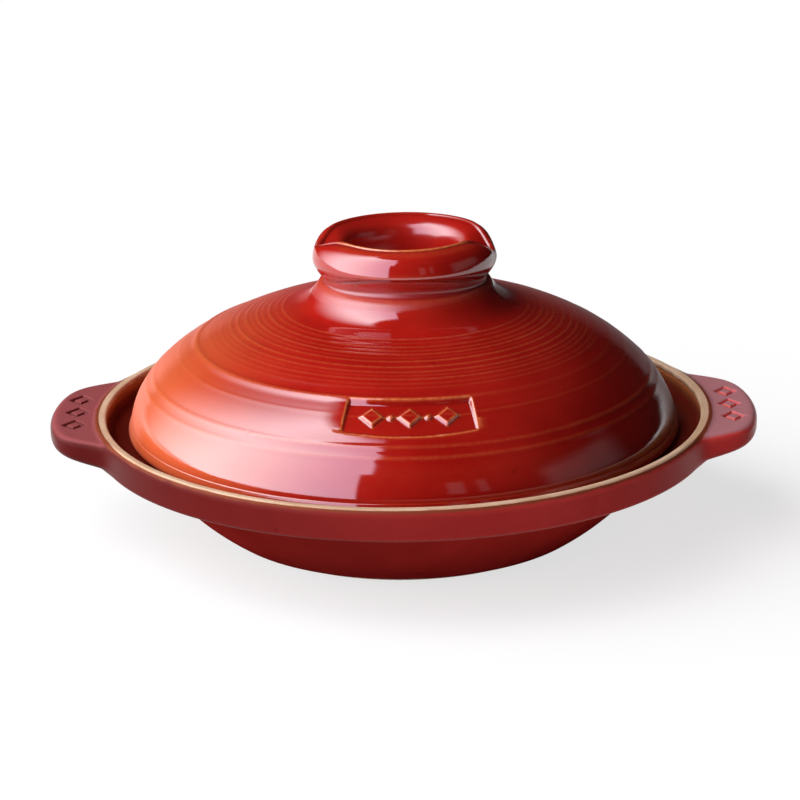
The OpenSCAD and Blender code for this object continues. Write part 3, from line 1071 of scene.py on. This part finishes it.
    def make_foot(self) -> Object:
        """Makes the bare foot ring with its rounded edges."""
        inner = self.foot_r - self.foot_w
        edge = 0.8
        profile = arc((self.foot_r - edge, edge), edge, 0, -90, 5)
        profile += arc((inner + edge, edge), edge, -90, -180, 5)
        profile += [(inner, self.foot_h), (self.foot_r, self.foot_h)]
        return wheel(profile, self.foot_columns).finish("bare_foot_ring")

    def build(self, palette: Palette) -> None:
        """Makes and dresses every piece of the pot."""
        dress(self.make_collar(), palette.pot, Slot.POT_GLAZE, Body.POT, "rim_collar",
              "gallery_ledge", "left_lug", "right_lug")
        dress(self.make_bare_rim(), palette.clay, Slot.BARE_CLAY, Body.POT, "bare_rim")
        dress(self.make_bowl(), palette.bowl, Slot.DARK_GLAZE, Body.POT, "bowl")
        dress(self.make_foot(), palette.clay, Slot.BARE_CLAY, Body.POT, "foot_ring")


# The lid

@dataclass
class Lid:
    """The lid: dome with throwing ridges and a stamped panel, rolled lip, bare seat and knob."""

    ledge_z: float = 43.0
    base_z: float = 44.0
    dome_r: float = 116.6
    dome_h: float = 59.2
    dome_foot_z: float = 48.7
    wall: float = 7.5
    lip_low: float = 44.2
    lip_high: float = 49.3
    lip_edge: tuple[Point, ...] = (
        (113.9, 44.2), (115.4, 44.25), (116.3, 44.6), (116.95, 45.2), (117.2, 46.0), (117.1, 46.8),
        (116.85, 47.6), (116.55, 48.3), (116.35, 48.9), (116.2, 49.3))
    seat_in_r: float = 107.09
    seat_w: float = 5.0
    ridge_h: float = 0.14
    ridge_w: float = 0.75
    ridges: tuple[Point, ...] = (
        (0.445, 0.5), (0.495, 0.7), (0.538, 0.8), (0.576, 0.7), (0.606, 0.8), (0.631, 0.7),
        (0.665, 0.6), (0.704, 0.4), (0.753, 3.0), (0.811, 0.5), (0.906, 1.6), (0.933, 2.0),
        (0.963, 0.0), (0.469, 0.35), (0.518, 0.45), (0.556, 0.4), (0.648, 0.4), (0.686, 0.35))
    ridge_sway: float = 0.35
    ridge_waver: float = 0.55
    band: int = 8
    band_side: float = 205.0
    band_strength: Point = (0.25, 1.25)
    leans: tuple[tuple[float, float, float], ...] = ((-0.45, 49.5, 60.0), (1.8, 72.0, 99.0))
    flare_h: float = 8.0
    flare_w: float = 12.0
    flare_power: float = 2.2
    knob_seat_r: float = 36.0
    neck_r: float = 34.4
    waist_r: Point = (31.8, 34.2)
    waist_lift: Point = (3.4, 1.4)
    well_r: float = 24.0
    well_z: float = 107.5
    neck_z: float = 117.7
    neck_side_z: float = 110.0
    crest_z: float = 128.5
    crest_r: float = 28.8
    crest_back_r: float = 33.6
    spout_sag: Point = (4.4, 8.0)
    spout_r: Point = (36.0, 37.2)
    spout_power: float = 26.0
    roll_r: float = 38.0
    roll_side_r: float = 38.8
    roll_z: float = 118.3
    roll_back_z: float = 122.6
    roll_side_z: float = 118.4
    crest_w: float = 1.6
    crest_back_w: float = 2.6
    crest_flat: float = 0.7
    roll_bulge: Point = (1.3, 2.6)
    roll_full: float = 0.66
    dish_bend: tuple[Point, Point] = ((24.0, 124.6), (24.3, 125.4))
    panel_turn: float = 1.6
    panel_top_r: float = 87.8
    panel_foot_r: float = 101.5
    panel_top_w: float = 49.0
    panel_foot_w: float = 55.0
    panel_depth: float = 1.7
    panel_step: float = 0.7
    panel_bank: float = 2.1
    panel_bulge: float = 1.1
    panel_slope: float = 1.22
    relief_h: float = 1.2
    lozenge_w: float = 9.5
    lozenge_l: float = 9.0
    lozenge_pitch: float = 15.0
    pellet_r: float = 1.4
    ridge_row: float = 0.36
    panel_row: float = 0.3
    least_row: float = 0.24
    columns: int = 288
    knob_columns: int = 256

    def dome_z(self, r: float) -> float:
        """Returns the height of the plain dome over a radius."""
        return self.base_z + self.dome_h * math.sqrt(max(0.0, 1 - (r / self.dome_r) ** 2))

    def sway(self, z: float) -> float:
        """Returns how far the hand-thrown lid leans to the right at a height."""
        return sum(shift * smooth(low, high, z) for shift, low, high in self.leans)

    def flare_z(self, r: float) -> float:
        """Returns the height that the flare under the knob adds over a radius."""
        share = max(0.0, 1 - (r - self.knob_seat_r) / self.flare_w)
        return self.flare_h * share ** self.flare_power

    def ridge_strength(self, index: int, angle: float) -> float:
        """Returns how strong a throwing ridge is at an angle, as no hand makes one quite even."""
        if index == self.band:
            facing = math.cos(math.radians(angle - self.band_side))
            return mix(*self.band_strength, smooth(-0.2, 0.75, facing))
        turn = math.radians(angle)
        wave = noise.noise(Vector((1.3 * math.cos(turn), 1.3 * math.sin(turn), 3.7 * index)))
        return 1 + self.ridge_waver * wave

    def surface_z(self, r: float, angle: float) -> float:
        """Returns the height of the lid's glazed outside at a radius and an angle."""
        turn = math.radians(angle)
        wave = noise.noise(Vector((math.cos(turn), math.sin(turn), r * 0.03)))
        total = self.dome_z(r) + self.flare_z(r)
        for i, (share, height) in enumerate(self.ridges):
            away = r - share * self.dome_r - self.ridge_sway * wave
            width = self.ridge_w * (2.0 if i == self.band else 1.0)
            if abs(away) < 3 * width:
                total += self.ridge_h * height * self.ridge_strength(i, angle) * bump(away, width)
        return total

    def sample_radii(self) -> list[float]:
        """Returns radii for the rows of the dome, close together on ridges and in the panel."""
        foot_r = self.dome_r * math.sqrt(1 - ((self.dome_foot_z - self.base_z) / self.dome_h) ** 2)
        wanted = [mix(self.knob_seat_r, foot_r, i / 56) for i in range(57)]
        for share, _ in self.ridges:
            wanted += [share * self.dome_r + self.ridge_row * k for k in range(-6, 7)]
        panel = (self.panel_top_r - 1.5, self.panel_foot_r + 1.5)
        rows = round((panel[1] - panel[0]) / self.panel_row)
        wanted += [mix(*panel, i / rows) for i in range(rows + 1)]
        steep = math.asin((self.dome_foot_z - self.base_z) / self.dome_h)
        wanted += [self.dome_r * math.cos(mix(0.5, steep, i / 32)) for i in range(33)]
        radii = [self.knob_seat_r]
        for r in sorted(wanted):
            gap = math.dist((r, self.dome_z(r)), (radii[-1], self.dome_z(radii[-1])))
            if gap > self.least_row and r < foot_r - 0.02:
                radii.append(r)
        return radii + [foot_r]

    def in_panel(self, p: Vector, margin: float) -> bool:
        """Tells whether a place lies over the panel, widened by a margin."""
        r = math.hypot(p.x, p.y)
        return (self.panel_top_r - margin < r < self.panel_foot_r + margin and p.y < 0 and p.z > 60
                and abs(self.panel_place(p)[0]) < self.panel_foot_w / 2 + margin)

    def panel_place(self, p: Vector) -> tuple[float, float]:
        """Returns a place's distance across the panel and its radius."""
        turned = Matrix.Rotation(-math.radians(self.panel_turn), 3, "Z") @ Vector((p.x, p.y, 0))
        return turned.x, math.hypot(p.x, p.y)

    def panel_sink(self, p: Vector) -> float:
        """Returns how far the stamped panel lies below the dome, less its raised ornament."""
        across, r = self.panel_place(p)
        down = (r - self.panel_top_r) / (self.panel_foot_r - self.panel_top_r)
        half = mix(self.panel_top_w, self.panel_foot_w, down) / 2
        foot_r = self.panel_foot_r + self.panel_bulge * (1 - (2 * across / self.panel_foot_w) ** 2)
        side = smooth(half + 0.1, half - 1.1, abs(across))
        head = smooth(self.panel_top_r - 0.1, self.panel_top_r + self.panel_bank, r)
        foot = smooth(foot_r, foot_r - 0.9, r)
        depth = mix(self.panel_depth, self.panel_step, clamp(down))
        up = (0.52 - down) * (self.panel_foot_r - self.panel_top_r) * self.panel_slope
        raised = 0.0
        for i in (-1, 0, 1):
            away = lozenge_distance(across - i * self.lozenge_pitch, up,
                                    self.lozenge_w / 2, self.lozenge_l / 2)
            raised = max(raised, smooth(0.5, -0.7, away))
        for i in (-1, 1):
            away = math.hypot(across - i * self.lozenge_pitch / 2, up) - self.pellet_r
            raised = max(raised, 0.8 * smooth(0.4, -0.9, away))
        return depth * side * head * foot - self.relief_h * raised

    def make_dome(self) -> Object:
        """Makes the glazed dome with its ridges, its stamped panel and the ornament in it."""
        radii = self.sample_radii()
        knob_z = self.surface_z(self.knob_seat_r, 0)
        well_z = self.base_z + self.dome_h
        shell_r, shell_h = self.dome_r - self.wall, self.dome_h - self.wall
        foot = math.degrees(math.asin((self.dome_foot_z - self.base_z) / shell_h))
        turns = [math.radians(mix(foot, 90, i / 30)) for i in range(31)]
        inside = [(shell_r * math.cos(t), self.base_z + shell_h * math.sin(t)) for t in turns]
        corner = 1.5
        crown = [(0.0, well_z)] + line((0.0, well_z), (self.well_r - corner, well_z), 5)
        crown += arc((self.well_r - corner, well_z + corner), corner, -90, 0, 4)[1:]
        crown += [(self.well_r, knob_z), (30.0, knob_z)]
        profile = crown + [(r, self.dome_z(r)) for r in radii] + inside
        turned = wheel(profile, self.columns, closed=False)
        turned.refine(lambda p: self.in_panel(p, 1.2), cuts=5, along=False)
        start, end = len(crown), len(crown) + len(radii)

        def place(row: int, angle: float) -> Point:
            if start <= row < end:
                r = radii[row - start]
                fade = smooth(0, 2, end - 1 - row)
                return r, mix(self.dome_z(r), self.surface_z(r, angle), fade)
            return profile[row]

        turned.shape(place)
        turned.bm.normal_update()
        for vert in turned.bm.verts:
            p = vert.co / MM
            if start <= vert[turned.row] < end and self.in_panel(p, 1.4):
                vert.co -= vert.normal * self.panel_sink(p) * MM
        turned.lean(self.sway)
        turned.clean()
        return turned.finish("glazed_lid_dome", lambda p: mix(0.15, 1.0, smooth(52, 60, p.z)))

    def make_lip(self) -> Object:
        """Makes the rolled edge of the lid."""
        start = (self.seat_in_r, self.lip_low)
        profile = [start] + line(start, self.lip_edge[0], 3) + list(self.lip_edge[1:])
        profile += line(profile[-1], (self.seat_in_r, self.lip_high), 3)
        return wheel(profile, self.columns).finish("rolled_lid_lip", lambda p: 0.1)

    def make_seat(self) -> Object:
        """Makes the bare ring that the lid rests on."""
        edge = 0.6
        outer = self.seat_in_r + self.seat_w
        low = self.ledge_z
        profile = [(self.seat_in_r, self.lip_low)]
        profile += arc((self.seat_in_r + edge, low + edge), edge, 180, 270, 4)
        profile += arc((outer - edge, low + edge), edge, -90, 0, 4)
        profile += [(outer, self.lip_low)]
        return wheel(profile, self.columns).finish("bare_lid_seat")

    def knob_ring(self, angle: float) -> Profile:
        """Returns the knob's section at an angle, from its foot over the roll and down the dish."""
        aside, behind = math.cos(math.radians(angle)), math.sin(math.radians(angle))
        side, spout = aside ** 2, abs(aside) ** self.spout_power
        hand = 1 if aside > 0 else 0
        back = smooth(-0.45, 0.35, behind)
        crease = mix(self.neck_z, self.neck_side_z, side)
        top = self.crest_z - self.spout_sag[hand] * spout
        top_r = mix(mix(self.crest_r, self.crest_back_r, back), self.spout_r[hand], spout)
        wide_r = mix(self.roll_r, self.roll_side_r, side)
        wide_z = mix(mix(self.roll_z, self.roll_back_z, back), self.roll_side_z, side)
        wide_z = min(wide_z, top - 1.2)
        foot = (self.knob_seat_r + 0.4, self.surface_z(self.knob_seat_r + 0.4, angle) - 0.1)
        waist = (mix(*self.waist_r, side), min(foot[1] + mix(*self.waist_lift, side), crease - 0.4))
        bend = (waist[0], foot[1] + 0.4)
        points = [foot] + curve((foot, bend, waist), 10)
        points += line(waist, (self.neck_r, crease - 0.2), 4) + [(self.neck_r, crease)]
        bulge = mix(*self.roll_bulge, side)
        for i in range(1, 15):
            t = math.radians(90 * i / 14)
            points.append((self.neck_r + (wide_r - self.neck_r) * math.sin(t) ** bulge,
                           wide_z - (wide_z - crease) * math.cos(t)))
        round_r = mix(self.crest_w, self.crest_back_w, max(back, smooth(0.75, 0.9, abs(aside)))) / 2
        round_h = round_r * self.crest_flat
        end = (top_r + round_r, top - round_h)
        up = (wide_r - mix(1.3, 0.3, side), mix(wide_z, end[1], self.roll_full))
        over = (mix(end[0], wide_r, self.roll_full - 0.03), end[1] - 0.3)
        points += curve((points[-1], up, over, end), 16)
        points += [(top_r + round_r * math.cos(t), end[1] + round_h * math.sin(t))
                   for t in (math.radians(mix(25, 165, i / 6)) for i in range(7))]
        low, high = self.dish_bend
        return points + curve((points[-1], high, low, (self.well_r, self.well_z)), 22)

    def knob_break_and_highlight(self, p: Vector) -> float:
        """Returns how strongly the light crest colour shows on the knob: partly glaze breaking thin
        over the crest, partly a painted highlight along the crest's front.
        """
        front = smooth(0.35, 0.6, -p.y / max(1.0, math.hypot(p.x, p.y))) * smooth(126, 127.4, p.z)
        return mix(0.08, 0.9, front)

    def make_knob(self) -> Object:
        """Makes the hollow knob with its saddle-shaped lip."""
        ring = cache(self.knob_ring)
        turned = wheel(ring(90), self.knob_columns)
        turned.shape(lambda row, angle: ring(angle)[row])
        turned.lean(self.sway)
        turned.clean()
        return turned.finish("hollow_knob", self.knob_break_and_highlight)

    def build(self, palette: Palette) -> None:
        """Makes and dresses every piece of the lid."""
        dress(self.make_dome(), palette.lid, Slot.LID_GLAZE, Body.LID, "lid_dome", "panel_relief")
        dress(self.make_lip(), palette.lid, Slot.LID_GLAZE, Body.LID, "lid_lip")
        dress(self.make_seat(), palette.clay, Slot.BARE_CLAY, Body.LID, "lid_seat")
        dress(self.make_knob(), palette.lid, Slot.LID_GLAZE, Body.LID, "lid_knob")


# The studio

@dataclass(frozen=True)
class Window:
    """A soft-edged patch of light in the room round the stage, by the directions that it fills.

    Azimuths are degrees from the camera's side, and less than 0 to its left.
    """

    left: Point
    right: Point
    low: Point
    high: Point
    radiance: float
    right_radiance: float
    tint: Colour = (1.0, 1.0, 1.0, 1.0)
    right_tint: Colour = (1.0, 1.0, 1.0, 1.0)
    tint_span: Point = (-70.0, -22.0)
    notches: tuple[Point, ...] = ()
    notch_soft: float = 0.6

    def build(self, graph: Graph, azimuth: Socket, elevation: Socket) -> Node:
        """Adds the nodes of the patch.

        Args:
            graph: The world's graph.
            azimuth, elevation: The direction looked in, in degrees.

        Returns:
            The patch's colour.
        """
        shifted = azimuth
        for height, shift in self.notches:
            span = (height - self.notch_soft, height + self.notch_soft)
            shifted = graph.minus(shifted, graph.step(elevation, *span, 0.0, shift))
        fall = graph.add("ShaderNodeMapRange", {
            "Value": azimuth, "From Min": self.left[1], "From Max": self.right[0],
            "To Min": self.radiance, "To Max": self.right_radiance})
        level = graph.step(azimuth, *self.left)
        for share in (graph.step(shifted, *self.right, 1.0, 0.0), graph.step(elevation, *self.low),
                      graph.step(elevation, *self.high, 1.0, 0.0), fall.outputs["Result"]):
            level = graph.times(level, share)
        tint = graph.blend(graph.step(azimuth, *self.tint_span), self.tint, self.right_tint)
        return graph.scale(tint, level)


@dataclass
class Studio:
    """Camera, pale floor and the room's light."""

    aim: Vector = Vector((0.0, 0.0, 0.06))
    distance: float = 1.3
    elevation: float = 17.75
    roll: float = -0.8
    focal_px: float = 3048.3
    frame_px: float = 800.0
    centre_px: Point = (403.2, 387.6)
    sensor: float = 36.0
    floor_radius: float = 5.0
    floor_gap: float = 0.0002
    floor_colour: Colour = (0.325, 0.315, 0.288, 1.0)
    floor_lift: float = 0.7
    room: float = 0.008
    windows: tuple[Window, ...] = (
        Window((-146, -84), (-20, -19.4), (-2, 0), (69, 74), 5.0, 3.0, (0.9, 0.97, 1.05, 1.0),
               right_tint=(0.9, 0.76, 0.99, 1.0), notches=((38, 5.5), (50, 2.0), (58, -5.0))),
        Window((56, 66), (92, 108), (0, 8), (20, 30), 0.18, 0.14),
        Window((17, 19), (24, 26), (11, 13), (26, 28), 0.2, 0.2),
        Window((30, 32), (34, 36), (11, 13), (26, 28), 0.16, 0.16))

    def make_camera(self) -> None:
        """Adds the camera at the photograph's viewing angle."""
        data = bpy.data.cameras.new("camera")
        data.sensor_width = self.sensor
        data.lens = self.focal_px / self.frame_px * self.sensor
        data.shift_x = (self.frame_px / 2 - self.centre_px[0]) / self.frame_px
        data.shift_y = (self.centre_px[1] - self.frame_px / 2) / self.frame_px
        camera = bpy.data.objects.new("camera", data)
        e = math.radians(self.elevation)
        back = Vector((0, -math.cos(e), math.sin(e)))
        face = (-back).to_track_quat("-Z", "Y")
        camera.location = self.aim + back * self.distance
        camera.rotation_mode = "QUATERNION"
        turn = Matrix.Rotation(math.radians(self.roll), 3, "Z").to_quaternion()
        camera.rotation_quaternion = face @ turn
        bpy.context.scene.collection.objects.link(camera)
        bpy.context.scene.camera = camera

    def make_floor(self) -> None:
        """Adds the plain pale floor, lifted to white for the eye and for reflections."""
        bm = bmesh.new()
        bmesh.ops.create_circle(bm, cap_ends=True, segments=96, radius=self.floor_radius)
        mesh = bpy.data.meshes.new("floor")
        bm.to_mesh(mesh)
        bm.free()
        mesh.transform(Matrix.Translation((0, 0, -self.floor_gap)))
        floor = bpy.data.objects.new("floor", mesh)
        bpy.context.scene.collection.objects.link(floor)
        material, graph, shader = blank_material("pale_floor")
        shader.inputs["Base Color"].default_value = self.floor_colour
        shader.inputs["Roughness"].default_value = 0.9
        shader.inputs["Specular IOR Level"].default_value = 0.0
        path = graph.add("ShaderNodeLightPath").outputs
        kinds = ("Camera", "Glossy", "Transmission")
        seen = graph.most(*(path[f"Is {kind} Ray"] for kind in kinds))
        shader.inputs["Emission Color"].default_value = (1, 1, 1, 1)
        graph.join(graph.times(seen, self.floor_lift), shader.inputs["Emission Strength"])
        mesh.materials.append(material)

    def make_world(self) -> None:
        """Makes a dim room with its windows."""
        world = bpy.data.worlds.new("studio")
        bpy.context.scene.world = world
        world.use_nodes = True
        world.node_tree.nodes.clear()
        graph = Graph(world.node_tree)
        x, y, z = graph.split(graph.add("ShaderNodeTexCoord").outputs["Generated"])
        degrees = 180 / math.pi
        azimuth = graph.times(graph.math("ARCTAN2", x, graph.times(y, -1.0)), degrees)
        elevation = graph.times(graph.math("ARCSINE", z), degrees)
        light = (self.room, self.room, self.room)
        for window in self.windows:
            patch = window.build(graph, azimuth, elevation)
            both = graph.add("ShaderNodeVectorMath", {0: light, 1: patch}, operation="ADD")
            light = both.outputs["Vector"]
        background = graph.add("ShaderNodeBackground", {"Color": light, "Strength": 1.0})
        graph.add("ShaderNodeOutputWorld", {"Surface": background.outputs["Background"]})

    def build(self) -> None:
        """Sets up the whole studio."""
        self.make_camera()
        self.make_floor()
        self.make_world()
        bpy.context.scene.view_settings.view_transform = "Standard"


def main() -> None:
    """Builds the studio, the pot and the lid, in that order."""
    logging.basicConfig(level=logging.INFO, format="%(name)s %(relativeCreated)d ms: %(message)s")
    Studio().build()
    palette = Palette.make()
    Pot().build(palette)
    Lid().build(palette)


if __name__ == "__main__":
    main()
